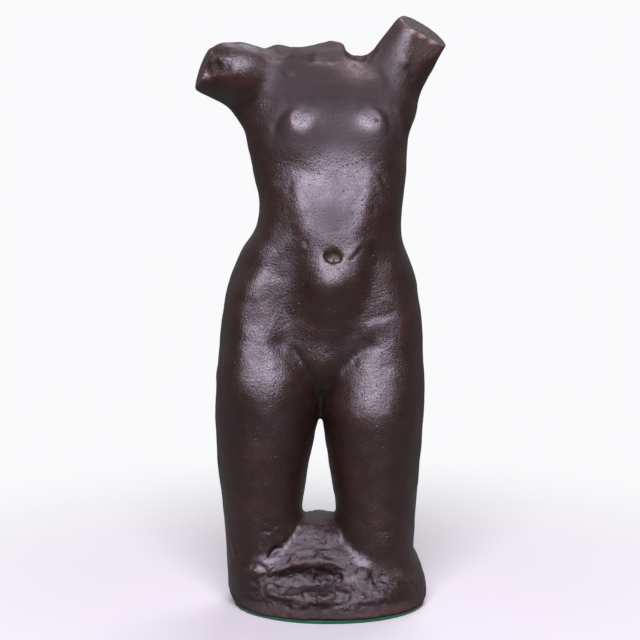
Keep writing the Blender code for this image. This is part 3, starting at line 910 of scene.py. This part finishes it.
def fuzzTree():
    # loose fibres that stand out of the cut edge of the felt
    kinds = {"Seed": "Int"}
    inputs = [(name, kinds.get(name, "Float"), value) for name, value in fuzz.items()]
    tree, given = nodeGroup("felt_fuzz", inputs + [("Finish", "Material", None)])
    facing = addNode(tree, "GeometryNodeInputNormal")
    upward = addNode(tree, "ShaderNodeSeparateXYZ", {0: facing}).outputs["Z"]
    upward = addNode(tree, "ShaderNodeMath", {0: upward}, operation="ABSOLUTE")
    onEdge = addNode(tree, "ShaderNodeMath", {0: upward, 1: 0.6}, operation="LESS_THAN")
    scattered = addNode(
        tree,
        "GeometryNodeDistributePointsOnFaces",
        {"Mesh": given["Geometry"], "Selection": onEdge, "Density": given["Density"], "Seed": given["Seed"]},
    )
    fibre = addNode(
        tree,
        "GeometryNodeMeshCone",
        {"Vertices": 3, "Radius Top": 0.0, "Radius Bottom": given["Thickness"], "Depth": given["Length"]},
    )
    least = addNode(tree, "ShaderNodeMath", {0: given["Lean"], 1: -1.0}, operation="MULTIPLY")
    lean = addNode(
        tree,
        "FunctionNodeRandomValue",
        {"Min": least, "Max": given["Lean"], "Seed": given["Seed"]},
        data_type="FLOAT_VECTOR",
    )
    turned = addNode(
        tree,
        "FunctionNodeRotateRotation",
        {"Rotation": scattered.outputs["Rotation"], "Rotate By": lean},
        rotation_space="LOCAL",
    )
    long = addNode(
        tree, "FunctionNodeRandomValue", {2: 0.4, 3: 1.0, "Seed": given["Seed"]}, data_type="FLOAT"
    )
    placed = addNode(
        tree,
        "GeometryNodeInstanceOnPoints",
        {"Points": scattered, "Instance": fibre, "Rotation": turned, "Scale": long},
    )
    whole = addNode(tree, "GeometryNodeRealizeInstances", {0: placed})
    finished = addNode(tree, "GeometryNodeSetMaterial", {"Geometry": whole, "Material": given["Finish"]})
    addNode(tree, "NodeGroupOutput", {0: finished})
    return tree


def pressedFelt():
    # Pressed wool felt, dyed dark green: dull, with short fibres lying all ways and a faint sheen.
    made = bpy.data.materials.new("pressed_wool_felt")
    made.use_nodes = True
    tree = made.node_tree
    shader = tree.nodes["Principled BSDF"]
    shader.inputs["Roughness"].default_value = 0.95
    shader.inputs["Specular IOR Level"].default_value = 0.25
    shader.inputs["Sheen Weight"].default_value = 0.35
    shader.inputs["Sheen Roughness"].default_value = 0.5
    place = addNode(tree, "ShaderNodeTexCoord").outputs["Object"]
    inMm = addNode(tree, "ShaderNodeVectorMath", {0: place, "Scale": 1 / mm}, operation="SCALE")
    matted = addNode(
        tree, "ShaderNodeTexNoise", {"Vector": inMm, "Scale": 1 / 0.9, "Detail": 4.0, "Distortion": 1.5}
    )
    tone = addNode(
        tree, "ShaderNodeValToRGB", {0: matted}, stops=[(0.3, "10402B"), (0.55, "1C5C3E"), (0.75, "2C7550")]
    )
    tree.links.new(tone.outputs[0], shader.inputs["Base Color"])
    bump = addNode(tree, "ShaderNodeBump", {"Strength": 0.8, "Distance": 0.3 * mm, "Height": matted})
    tree.links.new(bump.outputs[0], shader.inputs["Normal"])
    return made


wool = pressedFelt()
feltPiece = linkObject("felt_pad_cloth", feltMesh())
feltPiece.data.materials.append(wool)
fibresPiece = linkObject("felt_fibres", feltMesh())
grown(fibresPiece, fuzzTree(), {**fuzz, "Finish": wool})
keptInside(fibresPiece.data, *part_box("felt_pad"))
for piece in (feltPiece, fibresPiece):
    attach(piece, "root")
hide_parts("felt_pad")
# the edge wanders to 0.3 mm past the oval, and lies 0.2 mm past it on average
print("felt cut:", len(fibresPiece.data.polygons) // 4, "fibres")


studio = {
    "floorColour": "EBECE4",
    "floorBounce": 0.15,  # of its own light that the paper throws back
    "softboxes": {  # where each stands, its width and height, watts and tint
        "front_softbox": ((-0.05, -2.52, 1.88), 2.0, 1.35, 152, "F0E6FF"),
        "back_softbox": ((0.5, 1.5, 2.7), 1.4, 0.9, 30, "F4F0FF"),
    },
    "aim": (0, 0, 0.25),  # of the softboxes
    "roomLight": "F4ECF2",
    "roomSeen": "FAFAFC",
    "lens": 119.6,
    "camera": (-0.007, -1.6, 0.47),
    "cameraAim": (-0.007, 0, 0.2212),
}


def softbox(name, place, width, height, watts, tint):
    lamp = bpy.data.lights.new(name, "AREA")
    lamp.shape, lamp.size, lamp.size_y = "RECTANGLE", width, height
    lamp.energy, lamp.color = watts, linear(tint)[:3]
    made = linkObject(name, lamp)
    made.location = place
    made.rotation_euler = (Vector(studio["aim"]) - Vector(place)).to_track_quat("-Z", "Y").to_euler()


def lightStudio():
    for name, settings in studio["softboxes"].items():
        softbox(name, *settings)
    world = bpy.data.worlds.new("pale_room")
    bpy.context.scene.world = world
    world.use_nodes = True
    tree = world.node_tree
    place = addNode(tree, "ShaderNodeTexCoord")
    split = addNode(tree, "ShaderNodeSeparateXYZ", {0: place.outputs["Generated"]})
    shade = addNode(tree, "ShaderNodeMapRange", {0: split.outputs["Y"], 1: -0.35, 2: 0.45, 3: 0.075, 4: 0.26})
    below = addNode(tree, "ShaderNodeMapRange", {0: split.outputs["Z"], 1: -0.25, 2: 0.05, 3: 0.6, 4: 1.0})
    shade = addNode(tree, "ShaderNodeMath", {0: shade, 1: below}, operation="MULTIPLY")
    seen = addNode(tree, "ShaderNodeLightPath").outputs["Is Camera Ray"]
    strength = addNode(tree, "ShaderNodeMix", {0: seen, 2: shade, 3: 1.0}, data_type="FLOAT")
    light, air = linear(studio["roomLight"]), linear(studio["roomSeen"])
    tint = addNode(tree, "ShaderNodeMix", {0: seen, 6: light, 7: air}, data_type="RGBA")
    sky = tree.nodes["Background"]
    tree.links.new(tint.outputs[2], sky.inputs[0])
    tree.links.new(strength.outputs[0], sky.inputs[1])


def floorPiece():
    bm = bmesh.new()
    bmesh.ops.create_circle(bm, cap_ends=True, radius=2.6, segments=96)
    mesh = bpy.data.meshes.new("floor")
    bm.to_mesh(mesh)
    bm.free()
    made = linkObject("floor", mesh)
    paper = bpy.data.materials.new("matt_backdrop_paper")
    paper.use_nodes = True
    tree = paper.node_tree
    shader = tree.nodes["Principled BSDF"]
    shader.inputs["Base Color"].default_value = linear(studio["floorColour"])
    shader.inputs["Roughness"].default_value = 0.8
    place = addNode(tree, "ShaderNodeTexCoord").outputs["Object"]
    away = addNode(tree, "ShaderNodeVectorMath", {0: place}, operation="LENGTH").outputs["Value"]
    fade = addNode(tree, "ShaderNodeMapRange", {0: away, 1: 0.12, 2: 0.55}, interpolation_type="SMOOTHSTEP")
    clear = addNode(tree, "ShaderNodeBsdfTransparent")
    seen = addNode(tree, "ShaderNodeLightPath").outputs["Is Camera Ray"]
    thin = addNode(tree, "ShaderNodeMix", {0: seen, 2: 1 - studio["floorBounce"], 3: 0.0}, data_type="FLOAT")
    fade = addNode(tree, "ShaderNodeMath", {0: fade, 1: thin}, operation="MAXIMUM")
    both = addNode(tree, "ShaderNodeMixShader", {0: fade, 1: shader, 2: clear})
    tree.links.new(both.outputs[0], tree.nodes["Material Output"].inputs[0])
    mesh.materials.append(paper)


def placeCamera():
    lens = bpy.data.cameras.new("camera")
    lens.lens, lens.sensor_width = studio["lens"], 36
    made = linkObject("camera", lens)
    made.location = studio["camera"]
    made.rotation_euler = (Vector(studio["cameraAim"]) - made.location).to_track_quat("-Z", "Y").to_euler()
    bpy.context.scene.camera = made


lightStudio()
floorPiece()
placeCamera()
bpy.context.scene.view_settings.view_transform = "Standard"
